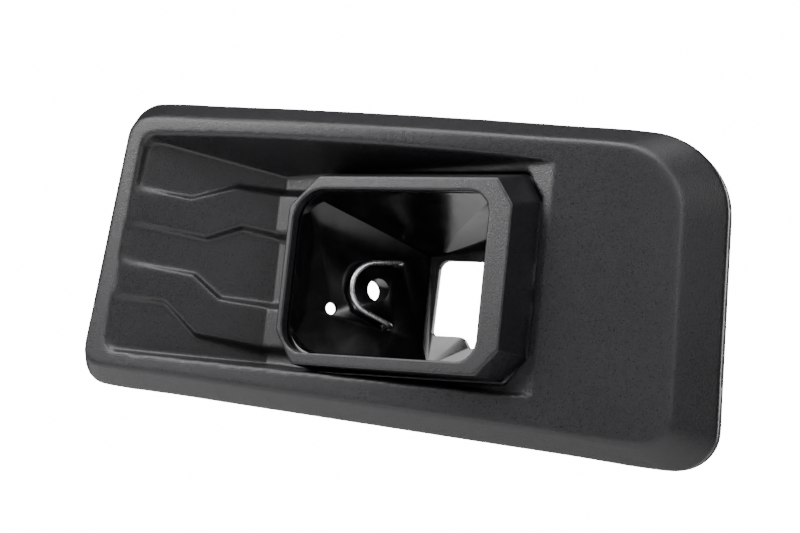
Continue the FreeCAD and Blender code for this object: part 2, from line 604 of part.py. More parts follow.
def make_return_spring():
    """Torsion spring above the hub, one leg behind the paddle and one on the housing's peg."""
    mean, wire, pitch, turns = SPRING_RADIUS, 0.55, 1.3, 4.5
    base = 13.2
    helix = Part.makeHelix(pitch, pitch * turns, mean)
    helix.rotate(Vec(0, 0, 0), Z_AXIS, 90)
    helix.translate(Vec(PIVOT_X, PIVOT_Y, base))
    top = base + pitch * turns
    rear_leg = Part.makeLine(Vec(PIVOT_X - 9.5, PIVOT_Y + mean, base), Vec(PIVOT_X, PIVOT_Y + mean, base))
    front_leg = Part.makeLine(Vec(PIVOT_X, PIVOT_Y - mean, top), Vec(PIVOT_X + 4.6, PIVOT_Y - mean, top))
    pieces = []
    for path in (rear_leg, front_leg):
        line = path.Edges[0]
        ahead = (line.Vertexes[1].Point - line.Vertexes[0].Point)
        pieces.append(rod(line.Vertexes[0].Point, ahead, wire, ahead.Length))
    start_ring = Part.Wire(Part.makeCircle(wire, Vec(PIVOT_X, PIVOT_Y + mean, base), X_AXIS))
    coil = Part.Wire(helix.Edges).makePipeShell([start_ring], True, True)
    return fused([coil] + pieces)


def make_rod_clip():
    """Plastic bushing for the latch rod, snapped into the arm's eye."""
    base = Vec(ROD_EYE_X, PIVOT_Y, -5.2)
    sleeve = rod(base, Z_AXIS, 2.6, 10.4)
    rims = [rod(Vec(ROD_EYE_X, PIVOT_Y, z), Z_AXIS, 4.2, 1.2) for z in (-5.2, 4.0)]
    return fused([sleeve] + rims).cut(rod(base, Z_AXIS, ROD_BORE, 20))


def make_bumper(seat_x, seat_y, seat_z, height):
    """Rubber bumper with a stem through a wall of HOUSING_WALL or the stop tab."""
    profile = [(0, -3.0), (1.5, -3.0), (1.5, 0), (3.0, 0), (3.0, height - 0.8), (2.2, height), (0, height)]
    return revolved(profile, Vec(seat_x, seat_y, seat_z), Y_AXIS * -1)


# ---- write every node ----------------------------------------------------------------------
def export(name, shape):
    """Write one node in the part's frame."""
    solids = shape if isinstance(shape, list) else [shape]
    placed = [moved(solid, 0, -MOUNT_DEPTH, 0) for solid in solids]
    result = placed[0] if len(placed) == 1 else Part.makeCompound(placed)
    result.exportStep("parts/%s.step" % name)
    print(name, len(result.Solids), "solids", round(result.Volume / 1000, 2), "cm3", result.isValid())


def main():
    os.makedirs("parts", exist_ok=True)
    export("bezel", make_bezel())
    export("edge_gasket", make_edge_gasket())
    export("panel_clips", make_panel_clips())
    export("collar", make_collar())
    export("pocket_housing", make_pocket_housing())
    export("wire_clip", make_wire_clip())
    export("wire_nuts", make_wire_nuts())
    export("mounting_inserts", make_inserts())
    export("housing_screws", make_screws(screw_spots(), 1.5, 10.5, 3.4, 2.2))
    export("collar_screws", make_screws(collar_screw_spots(), 1.25, 12.5, 2.6, 1.8))
    export("release_paddle", make_paddle())
    export("paddle_pad", make_paddle_pad())
    export("pivot_pin", make_pivot_pin())
    export("pin_clip", make_pin_clip())
    export("pivot_bushings", make_bushings())
    export("return_spring", make_return_spring())
    export("rod_clip", make_rod_clip())
    export("rest_bumper", make_bumper(52.0, 45.0, 0.0, 2.7))
    export("end_bumper", make_bumper(22.0, POCKET_DEPTH, -10.0, 4.4))


main()
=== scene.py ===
"""Looks of a recessed car door handle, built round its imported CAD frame.

The part's frame has its origin in the middle of the four threaded inserts, X along the handle,
Y into the door and Z up. Lengths are metres; sizes given in millimetres are multiplied by MM.
"""

import logging
import math
from collections.abc import Callable, Iterable, Sequence
from dataclasses import dataclass, field
from enum import Enum
from typing import Any

import bmesh
import bpy
import numpy as np
from mathutils import Matrix, Vector


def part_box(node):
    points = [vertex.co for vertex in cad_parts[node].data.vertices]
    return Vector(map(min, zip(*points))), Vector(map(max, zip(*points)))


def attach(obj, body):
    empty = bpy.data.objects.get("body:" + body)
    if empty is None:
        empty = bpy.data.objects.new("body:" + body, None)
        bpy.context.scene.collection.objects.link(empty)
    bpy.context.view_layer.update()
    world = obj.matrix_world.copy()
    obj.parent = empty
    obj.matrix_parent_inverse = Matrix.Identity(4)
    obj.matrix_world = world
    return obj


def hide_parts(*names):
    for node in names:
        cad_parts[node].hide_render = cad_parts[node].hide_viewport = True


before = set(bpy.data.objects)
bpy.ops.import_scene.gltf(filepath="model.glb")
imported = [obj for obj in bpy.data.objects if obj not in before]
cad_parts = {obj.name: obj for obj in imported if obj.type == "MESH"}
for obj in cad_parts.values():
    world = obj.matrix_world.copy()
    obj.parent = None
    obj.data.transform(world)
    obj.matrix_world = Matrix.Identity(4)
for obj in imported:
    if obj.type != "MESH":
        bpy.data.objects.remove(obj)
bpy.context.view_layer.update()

LOG = logging.getLogger("door_handle")
MM = 0.001
RIM_Y = -56.0 * MM            # plane of the collar's rim


class Body(Enum):
    """Bodies of the CAD frame."""

    HOUSING = "housing"
    PADDLE = "paddle"


class Slot(Enum):
    """Material slots of the record."""

    GRAINED = "grained_plastic"
    COLLAR = "collar_plastic"
    GLOSS = "gloss_black"
    SPRING = "spring_steel"
    ZINC = "zinc_steel"
    BRASS = "brass"
    RUBBER = "black_rubber"
    FOAM = "foam"
    PADDLE = "paddle_plastic"
    ACETAL = "acetal"


# ---- node and colour helpers ---------------------------------------------------------------
def srgb(code: str) -> tuple[float, float, float, float]:
    """Linear colour of an sRGB hex code.

    Args:
        code: six hex digits, with or without a leading #.

    Returns:
        Red, green, blue and an alpha of 1.
    """
    digits = code.lstrip("#")
    channels = [int(digits[i:i + 2], 16) / 255 for i in (0, 2, 4)]
    linear = [c / 12.92 if c <= 0.04045 else ((c + 0.055) / 1.055) ** 2.4 for c in channels]
    return linear[0], linear[1], linear[2], 1.0


def add_node(tree: bpy.types.NodeTree, kind: str, settings: dict[str, Any] | None = None,
             values: dict[Any, Any] | None = None, links: dict[Any, Any] | None = None) -> bpy.types.Node:
    """Add one node with its settings, input values and incoming links.

    Args:
        tree: the tree that gets the node.
        kind: the node's type name.
        settings: attributes of the node itself.
        values: input values by socket name or index.
        links: source sockets by input socket name or index; a list makes several links.

    Returns:
        The new node.
    """
    node = tree.nodes.new(kind)
    for key, value in (settings or {}).items():
        setattr(node, key, value)
    for key, value in (values or {}).items():
        node.inputs[key].default_value = value
    for key, sources in (links or {}).items():
        for source in sources if isinstance(sources, list) else [sources]:
            tree.links.new(source, node.inputs[key])
    return node


def sort_inputs(parts: dict[str | int, Any]) -> tuple[dict[Any, Any], dict[Any, Any]]:
    """Part a node's inputs into plain values and links.

    Args:
        parts: a number or a socket for each input.

    Returns:
        The values and the links, ready for add_node.
    """
    links = {key: part for key, part in parts.items() if isinstance(part, bpy.types.NodeSocket)}
    return {key: part for key, part in parts.items() if key not in links}, links


def per_metre(size_mm: float) -> float:
    """Texture scale that gives features of a size in millimetres."""
    return 1.0 / (size_mm * MM)


def blank_material(name: str) -> tuple[bpy.types.Material, bpy.types.NodeTree, bpy.types.Node]:
    """Start a node material.

    Args:
        name: the finish's name.

    Returns:
        The material, its tree and its output node.
    """
    material = bpy.data.materials.new(name)
    material.use_nodes = True
    tree = material.node_tree
    tree.nodes.clear()
    return material, tree, add_node(tree, "ShaderNodeOutputMaterial")


# ---- finishes ------------------------------------------------------------------------------
@dataclass(frozen=True)
class GrainedPlastic:
    """Injection-moulded plastic with a spark-eroded or etched tool grain."""

    name: str
    dark: str
    light: str
    roughness: float
    grain_mm: float
    depth_mm: float
    ior: float = 1.49
    cloud_mm: float = 38.0
    sparkle: float = 0.16

    def build(self) -> bpy.types.Material:
        """Make the material."""
        material, tree, output = blank_material(self.name)
        place = add_node(tree, "ShaderNodeTexCoord").outputs["Object"]
        pebble = add_node(tree, "ShaderNodeTexVoronoi", {"feature": "SMOOTH_F1"},
                          {"Scale": per_metre(self.grain_mm * 1.3), "Smoothness": 0.6, "Randomness": 1.0},
                          {"Vector": place})
        speckle = add_node(tree, "ShaderNodeTexNoise", {},
                           {"Scale": per_metre(self.grain_mm), "Detail": 3.0, "Roughness": 0.6},
                           {"Vector": place})
        cloud = add_node(tree, "ShaderNodeTexNoise", {}, {"Scale": per_metre(self.cloud_mm), "Detail": 2.0},
                         {"Vector": place})
        grain = add_node(tree, "ShaderNodeMath", {"operation": "MULTIPLY_ADD"}, {1: 0.7},
                         {0: pebble.outputs["Distance"], 2: speckle.outputs["Fac"]})
        mottle = add_node(tree, "ShaderNodeMath", {"operation": "MULTIPLY_ADD"}, {1: 0.35},
                          {0: cloud.outputs["Fac"], 2: speckle.outputs["Fac"]})
        tone = add_node(tree, "ShaderNodeValToRGB", {}, {}, {"Fac": mottle.outputs[0]})
        tone.color_ramp.elements[0].position = 0.42
        tone.color_ramp.elements[0].color = srgb(self.dark)
        tone.color_ramp.elements[1].position = 0.95
        tone.color_ramp.elements[1].color = srgb(self.light)
        gloss = add_node(tree, "ShaderNodeMapRange", {},
                         {"From Min": 0.3, "From Max": 0.7, "To Min": self.roughness - self.sparkle,
                          "To Max": self.roughness + self.sparkle}, {"Value": speckle.outputs["Fac"]})
        bump = add_node(tree, "ShaderNodeBump", {}, {"Strength": 1.0, "Distance": self.depth_mm * MM},
                        {"Height": grain.outputs[0]})
        shader = add_node(tree, "ShaderNodeBsdfPrincipled", {}, {"IOR": self.ior},
                          {"Base Color": tone.outputs["Color"], "Roughness": gloss.outputs["Result"],
                           "Normal": bump.outputs["Normal"]})
        tree.links.new(shader.outputs["BSDF"], output.inputs["Surface"])
        return material


@dataclass(frozen=True)
class PolishedPlastic:
    """Plastic from a polished tool: mirror-like, with faint flow ripple and handling haze."""

    name: str
    colour: str
    haze: str
    roughness: float
    ripple_mm: float = 7.0
    ripple_depth_mm: float = 0.006
    haze_mm: float = 16.0
    ior: float = 1.52

    def build(self) -> bpy.types.Material:
        """Make the material."""
        material, tree, output = blank_material(self.name)
        place = add_node(tree, "ShaderNodeTexCoord").outputs["Object"]
        ripple = add_node(tree, "ShaderNodeTexNoise", {},
                          {"Scale": per_metre(self.ripple_mm), "Detail": 2.0}, {"Vector": place})
        smear = add_node(tree, "ShaderNodeTexNoise", {},
                         {"Scale": per_metre(self.haze_mm), "Detail": 6.0, "Roughness": 0.62,
                          "Distortion": 0.8}, {"Vector": place})
        tone = add_node(tree, "ShaderNodeMix", {"data_type": "RGBA"},
                        {6: srgb(self.colour), 7: srgb(self.haze)}, {0: smear.outputs["Fac"]})
        gloss = add_node(tree, "ShaderNodeMapRange", {},
                         {"From Min": 0.35, "From Max": 0.75, "To Min": self.roughness,
                          "To Max": self.roughness + 0.12}, {"Value": smear.outputs["Fac"]})
        bump = add_node(tree, "ShaderNodeBump", {},
                        {"Strength": 1.0, "Distance": self.ripple_depth_mm * MM},
                        {"Height": ripple.outputs["Fac"]})
        shader = add_node(tree, "ShaderNodeBsdfPrincipled", {}, {"IOR": self.ior},
                          {"Base Color": tone.outputs[2], "Roughness": gloss.outputs["Result"],
                           "Normal": bump.outputs["Normal"]})
        tree.links.new(shader.outputs["BSDF"], output.inputs["Surface"])
        return material


@dataclass(frozen=True)
class WorkedMetal:
    """Metal whose drawing, turning or plating leaves fine lines along one axis."""

    name: str
    colour: str
    stain: str
    roughness: float
    line_mm: float
    line_depth_mm: float
    stretch: tuple[float, float, float] = (1.0, 1.0, 1.0)

    def build(self) -> bpy.types.Material:
        """Make the material."""
        material, tree, output = blank_material(self.name)
        place = add_node(tree, "ShaderNodeTexCoord").outputs["Object"]
        along = add_node(tree, "ShaderNodeMapping", {}, {"Scale": self.stretch}, {"Vector": place})
        lines = add_node(tree, "ShaderNodeTexNoise", {}, {"Scale": per_metre(self.line_mm), "Detail": 4.0},
                         {"Vector": along.outputs["Vector"]})
        bloom = add_node(tree, "ShaderNodeTexNoise", {}, {"Scale": per_metre(5.0), "Detail": 3.0},
                         {"Vector": place})
        tone = add_node(tree, "ShaderNodeMix", {"data_type": "RGBA"},
                        {6: srgb(self.colour), 7: srgb(self.stain)}, {0: bloom.outputs["Fac"]})
        gloss = add_node(tree, "ShaderNodeMapRange", {},
                         {"From Min": 0.3, "From Max": 0.7, "To Min": self.roughness - 0.05,
                          "To Max": self.roughness + 0.1}, {"Value": lines.outputs["Fac"]})
        bump = add_node(tree, "ShaderNodeBump", {}, {"Strength": 1.0, "Distance": self.line_depth_mm * MM},
                        {"Height": lines.outputs["Fac"]})
        shader = add_node(tree, "ShaderNodeBsdfPrincipled", {}, {"Metallic": 1.0},
                          {"Base Color": tone.outputs[2], "Roughness": gloss.outputs["Result"],
                           "Normal": bump.outputs["Normal"]})
        tree.links.new(shader.outputs["BSDF"], output.inputs["Surface"])
        return material


@dataclass(frozen=True)
class PorousRubber:
    """Rubber or foam: a dull skin broken by pores, with painted shade in the bottom of each pore."""

    name: str
    colour: str
    pore_shade: str
    pore_mm: float
    depth_mm: float
    roughness: float

    def build(self) -> bpy.types.Material:
        """Make the material."""
        material, tree, output = blank_material(self.name)
        place = add_node(tree, "ShaderNodeTexCoord").outputs["Object"]
        cells = add_node(tree, "ShaderNodeTexVoronoi", {"feature": "F1"},
                         {"Scale": per_metre(self.pore_mm)}, {"Vector": place})
        dust = add_node(tree, "ShaderNodeTexNoise", {},
                        {"Scale": per_metre(self.pore_mm * 6), "Detail": 4.0}, {"Vector": place})
        hollow_and_shade = add_node(tree, "ShaderNodeMapRange", {}, {"From Min": 0.1, "From Max": 0.55},
                          {"Value": cells.outputs["Distance"]})
        # Painted shade: the pits of the pores take the darker pore colour, standing in for the shade inside
        # them.
        tone = add_node(tree, "ShaderNodeMix", {"data_type": "RGBA"},
                        {6: srgb(self.pore_shade), 7: srgb(self.colour)}, {0: hollow_and_shade.outputs["Result"]})
        gloss = add_node(tree, "ShaderNodeMapRange", {},
                         {"To Min": self.roughness - 0.05, "To Max": self.roughness + 0.08},
                         {"Value": dust.outputs["Fac"]})
        bump = add_node(tree, "ShaderNodeBump", {}, {"Strength": 1.0, "Distance": self.depth_mm * MM},
                        {"Height": hollow_and_shade.outputs["Result"]})
        shader = add_node(tree, "ShaderNodeBsdfPrincipled", {}, {"IOR": 1.5},
                          {"Base Color": tone.outputs[2], "Roughness": gloss.outputs["Result"],
                           "Normal": bump.outputs["Normal"]})
        tree.links.new(shader.outputs["BSDF"], output.inputs["Surface"])
        return material


# Polypropylene from an etched tool: a soft, dark grey sheen broken by fine stipple.
ESCUTCHEON_PP = GrainedPlastic("moulded_polypropylene_stipple", "#09090b", "#1d1d20", 0.40, 0.42, 0.06)
# The same plastic from a finer grained tool, so the collar's edges look crisper.
COLLAR_PP = GrainedPlastic("moulded_polypropylene_fine_grain", "#09090b", "#1b1b1e", 0.38, 0.36, 0.035)
# ABS from a polished tool: deep black that mirrors the lights in long streaks.
POCKET_ABS = PolishedPlastic("polished_black_abs", "#040405", "#09090a", 0.15)
# Glass-filled nylon: dark with pale fibre flecks and a dry, slightly rough skin.
PADDLE_NYLON = GrainedPlastic("glass_filled_nylon", "#19191b", "#2b2c2e", 0.46, 0.5, 0.015, 1.53, 14.0,
                              0.06)
# Acetal bearings: milky, waxy and almost smooth.
BEARING_ACETAL = GrainedPlastic("turned_acetal", "#c9c7bd", "#e2e0d6", 0.32, 0.35, 0.004, 1.48, 9.0,
                                0.04)
# Bright zinc-plated spring wire with fine drawing lines.
CLIP_WIRE = WorkedMetal("zinc_plated_spring_wire", "#eff0f2", "#d4d6d9", 0.28, 0.35, 0.003,
                        (1.0, 1.0, 0.3))
# Oil-tempered wire of the return spring: mid grey with fine drawing lines.
SPRING_WIRE = WorkedMetal("oil_tempered_spring_wire", "#8f9296", "#6c6f73", 0.30, 0.3, 0.003)
# Zinc-plated steel of screws, nuts and pin: pale grey with a faint uneven bloom.
PLATED_STEEL = WorkedMetal("zinc_plated_steel", "#c3c6c9", "#9ea1a6", 0.32, 0.25, 0.003, (1.0, 0.2, 1.0))
# Turned brass of the threaded inserts.
TURNED_BRASS = WorkedMetal("turned_brass", "#d2ae62", "#b18a43", 0.26, 0.25, 0.003, (0.2, 1.0, 0.2))
# Moulded rubber of bumpers and pad: matt with a fine matt-tool texture, and faint painted shade in its
# pits.
BUMPER_RUBBER = PorousRubber("moulded_black_rubber", "#1b1b1c", "#121213", 0.5, 0.012, 0.7)
# Closed-cell foam strip: dull charcoal full of small open cells, each painted dark inside as painted shade.
STRIP_FOAM = PorousRubber("closed_cell_foam", "#2c2c2e", "#111112", 0.9, 0.12, 0.88)


class FinishShelf:
    """Materials of the object, each made once."""

    def __init__(self) -> None:
        """Start with nothing on the shelf."""
        self._made: dict[str, bpy.types.Material] = {}

    def take(self, finish: Any) -> bpy.types.Material:
        """Material of a finish.

        Args:
            finish: one of the finish descriptions above.

        Returns:
            The Blender material, made the first time that it is asked for.
        """
        if finish.name not in self._made:
            self._made[finish.name] = finish.build()
        return self._made[finish.name]


# ---- mesh helpers --------------------------------------------------------------------------
def linked(name: str, mesh: bpy.types.Mesh) -> bpy.types.Object:
    """New object in the scene that holds a mesh."""
    made = bpy.data.objects.new(name, mesh)
    bpy.context.scene.collection.objects.link(made)
    return made


def evaluated_mesh(source: bpy.types.Object) -> bpy.types.Mesh:
    """Plain mesh of an object with its modifiers worked out."""
    bpy.context.view_layer.update()
    graph = bpy.context.evaluated_depsgraph_get()
    return bpy.data.meshes.new_from_object(source.evaluated_get(graph))


def settle(piece: bpy.types.Object) -> bpy.types.Object:
    """Replace an object's mesh by its evaluated one and drop its modifiers.

    Args:
        piece: an object with modifiers.

    Returns:
        The same object with a plain mesh.
    """
    mesh = evaluated_mesh(piece)
    piece.modifiers.clear()
    piece.data = mesh
    return piece


def smooth_below(mesh: bpy.types.Mesh, degrees: float) -> None:
    """Shade a mesh smooth, apart from edges sharper than an angle."""
    mesh.polygons.foreach_set("use_smooth", [True] * len(mesh.polygons))
    mesh.set_sharp_from_angle(angle=math.radians(degrees))


def merged_copy(node: str, name: str) -> bpy.types.Object:
    """Copy of a CAD node with its loose triangles joined up.

    Args:
        node: the CAD node.
        name: the new piece's name.

    Returns:
        The new object.
    """
    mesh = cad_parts[node].data.copy()
    mesh.name = name
    shell = bmesh.new()
    shell.from_mesh(mesh)
    bmesh.ops.remove_doubles(shell, verts=shell.verts, dist=2e-6)
    shell.to_mesh(mesh)
    shell.free()
    mesh.materials.clear()
    if "custom_normal" in mesh.attributes:
        mesh.attributes.remove(mesh.attributes["custom_normal"])
    return linked(name, mesh)


def relax(mesh: bpy.types.Mesh, passes: int, weight: Callable[[np.ndarray], np.ndarray]) -> None:
    """Round a dense mesh off by moving each vertex towards its neighbours.

    Args:
        mesh: the mesh that is changed.
        passes: how many times every vertex moves.
        weight: gives each vertex's share of the move from an array of positions.
    """
    count = len(mesh.vertices)
    place = np.empty(count * 3, np.float64)
    mesh.vertices.foreach_get("co", place)
    place = place.reshape(-1, 3)
    ends = np.empty(len(mesh.edges) * 2, np.int64)
    mesh.edges.foreach_get("vertices", ends)
    ends = ends.reshape(-1, 2)
    start, end = np.concatenate([ends, ends[:, ::-1]]).T
    near = np.maximum(np.bincount(start, minlength=count), 1)
    share = 0.5 * weight(place)
    for _ in range(passes):
        for axis in range(3):
            middle = np.bincount(start, place[end, axis], count) / near
            place[:, axis] += share * (middle - place[:, axis])
    mesh.vertices.foreach_set("co", place.reshape(-1).astype(np.float32))
    mesh.update()


def everywhere(place: np.ndarray) -> np.ndarray:
    """Weight of one for every vertex."""
    return np.ones(len(place))


@dataclass
class SoftenedShell:
    """Copy of a CAD node whose sharp edges are rounded the way a moulding's are."""

    node: str
    name: str
    voxel_mm: float
    passes: int
    most_triangles: int
    extra_passes: int = 0
    extra_weight: Callable[[np.ndarray], np.ndarray] = everywhere

    def build(self) -> bpy.types.Object:
        """Make the piece."""
        piece = merged_copy(self.node, self.name)
        skin = piece.modifiers.new("skin", "REMESH")
        skin.mode = "VOXEL"
        skin.voxel_size = self.voxel_mm * MM
        settle(piece)
        relax(piece.data, self.passes, everywhere)
        if self.extra_passes:
            relax(piece.data, self.extra_passes, self.extra_weight)
        triangles = 2 * len(piece.data.polygons)
        if triangles > self.most_triangles:
            thin = piece.modifiers.new("thin", "DECIMATE")
            thin.ratio = self.most_triangles / triangles
            settle(piece)
        smooth_below(piece.data, 60.0)
        return piece


def bevelled_copy(node: str, name: str, width_mm: float, segments: int = 3) -> bpy.types.Object:
    """Copy of a CAD node with a small radius on every sharp edge.

    Args:
        node: the CAD node.
        name: the new piece's name.
        width_mm: how wide the rounded strip is.
        segments: how many faces the strip has.

    Returns:
        The new object.
    """
    piece = merged_copy(node, name)
    shell = bmesh.new()
    shell.from_mesh(piece.data)
    bmesh.ops.dissolve_limit(shell, angle_limit=math.radians(1.0), verts=shell.verts, edges=shell.edges)
    shell.to_mesh(piece.data)
    shell.free()
    edge = piece.modifiers.new("radius", "BEVEL")
    edge.width = width_mm * MM
    edge.segments = segments
    edge.limit_method = "ANGLE"
    edge.angle_limit = math.radians(30.0)
    settle(piece)
    smooth_below(piece.data, 35.0)
    return piece


def lathe(name: str, profile: Sequence[tuple[float, float]], base: Vector, axis: Vector,
          segments: int = 48) -> bpy.types.Object:
    """Turned piece.

    Args:
        name: the piece's name.
        profile: (radius, height) points in millimetres, a closed loop when it starts off the axis.
        base: where height 0 lies.
        axis: the direction of height.
        segments: steps round the axis.

    Returns:
        The new object.
    """
    shell = bmesh.new()
    turn = Vector((0, 0, 1)).rotation_difference(axis.normalized()).to_matrix().to_4x4()
    place = Matrix.Translation(base) @ turn
    rings = []
    for radius, height in profile:
        if radius == 0:
            rings.append([shell.verts.new(place @ Vector((0, 0, height * MM)))] * segments)
            continue
        ring = []
        for i in range(segments):
            angle = math.tau * i / segments
            spot = Vector((radius * math.cos(angle), radius * math.sin(angle), height)) * MM
            ring.append(shell.verts.new(place @ spot))
        rings.append(ring)
    pairs = list(zip(rings, rings[1:]))
    if profile[0][0] > 0:
        pairs.append((rings[-1], rings[0]))
    for low, high in pairs:
        for i in range(segments):
            j = (i + 1) % segments
            corners = list(dict.fromkeys([low[i], low[j], high[j], high[i]]))
            if len(corners) > 2:
                shell.faces.new(corners)
    bmesh.ops.recalc_face_normals(shell, faces=shell.faces)
    mesh = bpy.data.meshes.new(name)
    shell.to_mesh(mesh)
    shell.free()
    smooth_below(mesh, 40.0)
    return linked(name, mesh)


def seed_points(name: str, spots: Iterable[Vector], joined: bool = False,
                fillets_mm: Sequence[float] = ()) -> bpy.types.Object:
    """Object whose vertices are the spots that a geometry tree grows on.

    Args:
        name: the piece's name.
        spots: the places.
        joined: whether edges join each spot to the next.
        fillets_mm: a bend radius for each spot, kept as the attribute "bend".

    Returns:
        The new object.
    """
    places = [tuple(spot) for spot in spots]
    edges = [(i, i + 1) for i in range(len(places) - 1)] if joined else []
    mesh = bpy.data.meshes.new(name)
    mesh.from_pydata(places, edges, [])
    if fillets_mm:
        bend = mesh.attributes.new("bend", "FLOAT", "POINT")
        bend.data.foreach_set("value", [radius * MM for radius in fillets_mm])
    return linked(name, mesh)


# ---- geometry trees ------------------------------------------------------------------------
@dataclass
class GrowthTree:
    """Geometry tree with named sizes, grown on the vertices or edges of a seed object."""

    name: str
    sizes: dict[str, float]
    tree: bpy.types.NodeTree = field(init=False)
    source: bpy.types.Node = field(init=False)
    keys: dict[str, str] = field(init=False)

    def __post_init__(self) -> None:
        """Open the tree with its named inputs."""
        self.tree = bpy.data.node_groups.new(self.name, "GeometryNodeTree")
        face = self.tree.interface
        face.new_socket("Geometry", in_out="INPUT", socket_type="NodeSocketGeometry")
        self.keys = {}
        for label, size in self.sizes.items():
            socket = face.new_socket(label, in_out="INPUT", socket_type="NodeSocketFloat")
            socket.default_value = size
            self.keys[label] = socket.identifier
        finish = face.new_socket("Finish", in_out="INPUT", socket_type="NodeSocketMaterial")
        self.keys["Finish"] = finish.identifier
        face.new_socket("Geometry", in_out="OUTPUT", socket_type="NodeSocketGeometry")
        self.source = add_node(self.tree, "NodeGroupInput")

    def size(self, label: str) -> bpy.types.NodeSocket:
        """Socket of a named size."""
        return self.source.outputs[label]

    def math(self, operation: str, first: Any, second: Any) -> bpy.types.NodeSocket:
        """Result of a sum on sockets or numbers."""
        values, links = sort_inputs({0: first, 1: second})
        return add_node(self.tree, "ShaderNodeMath", {"operation": operation}, values, links).outputs[0]

    def times(self, first: Any, second: Any) -> bpy.types.NodeSocket:
        """Product of two sockets or numbers."""
        return self.math("MULTIPLY", first, second)

    def cone(self, top: Any, bottom: Any, depth: Any, base: Any = 0.0,
             sides: int = 32) -> bpy.types.NodeSocket:
        """Closed cone or cylinder that starts at a height on the Z axis."""
        values, links = sort_inputs({"Radius Top": top, "Radius Bottom": bottom, "Depth": depth})
        shape = add_node(self.tree, "GeometryNodeMeshCone", {}, {"Vertices": sides, **values}, links)
        return self.lifted(shape.outputs["Mesh"], base)

    def lifted(self, shape: bpy.types.NodeSocket, height: Any) -> bpy.types.NodeSocket:
        """Shape moved up the Z axis."""
        shift = add_node(self.tree, "ShaderNodeCombineXYZ", {}, *sort_inputs({"Z": height}))
        move = add_node(self.tree, "GeometryNodeTransform", {}, {},
                        {"Geometry": shape, "Translation": shift.outputs["Vector"]})
        return move.outputs["Geometry"]

    def swept(self, path: bpy.types.NodeSocket, radius: Any, sides: int = 10) -> bpy.types.NodeSocket:
        """Round wire along a path."""
        circle = add_node(self.tree, "GeometryNodeCurvePrimitiveCircle", {},
                          *sort_inputs({"Resolution": sides, "Radius": radius}))
        wire = add_node(self.tree, "GeometryNodeCurveToMesh", {}, {"Fill Caps": True},
                        {"Curve": path, "Profile Curve": circle.outputs["Curve"]})
        return wire.outputs["Mesh"]

    def helix(self, radius: Any, turns: Any, height: Any, steps: int = 28) -> bpy.types.NodeSocket:
        """Helical path round the Z axis, starting at height 0."""
        values, links = sort_inputs({"Start Radius": radius, "End Radius": radius, "Rotations": turns,
                                     "Height": height})
        spiral = add_node(self.tree, "GeometryNodeCurveSpiral", {}, {"Resolution": steps, **values}, links)
        return spiral.outputs["Curve"]

    def joined(self, shapes: list[bpy.types.NodeSocket]) -> bpy.types.NodeSocket:
        """All the shapes together."""
        return add_node(self.tree, "GeometryNodeJoinGeometry", {}, {}, {0: shapes}).outputs[0]

    def on_seeds(self, shape: bpy.types.NodeSocket,
                 turn: tuple[float, float, float]) -> bpy.types.NodeSocket:
        """Shape repeated on every seed, turned the same way."""
        spread = add_node(self.tree, "GeometryNodeInstanceOnPoints", {}, {"Rotation": turn},
                          {"Points": self.source.outputs["Geometry"], "Instance": shape})
        return spread.outputs["Instances"]

    def finish(self, shape: bpy.types.NodeSocket) -> None:
        """End the tree: make instances real and set the material."""
        real = add_node(self.tree, "GeometryNodeRealizeInstances", {}, {}, {"Geometry": shape})
        dressed = add_node(self.tree, "GeometryNodeSetMaterial", {}, {},
                           {"Geometry": real.outputs["Geometry"],
                            "Material": self.source.outputs["Finish"]})
        add_node(self.tree, "NodeGroupOutput", {}, {}, {"Geometry": dressed.outputs["Geometry"]})

    def grow(self, seeds: bpy.types.Object, finish: bpy.types.Material, **sizes: float) -> bpy.types.Object:
        """Turn a seed object into the finished mesh.

        Args:
            seeds: the seed object, which becomes the piece.
            finish: the material.
            sizes: sizes that differ from the tree's own, with _ for a space.

        Returns:
            The same object, with a plain mesh.
        """
        growth = seeds.modifiers.new(self.name, "NODES")
        growth.node_group = self.tree
        growth[self.keys["Finish"]] = finish
        for label, size in {**self.sizes, **{k.replace("_", " "): v for k, v in sizes.items()}}.items():
            growth[self.keys[label]] = size
        settle(seeds)
        smooth_below(seeds.data, 40.0)
        return seeds


REARWARD = (-math.pi / 2, 0.0, 0.0)         # turns a shape's Z axis into the door


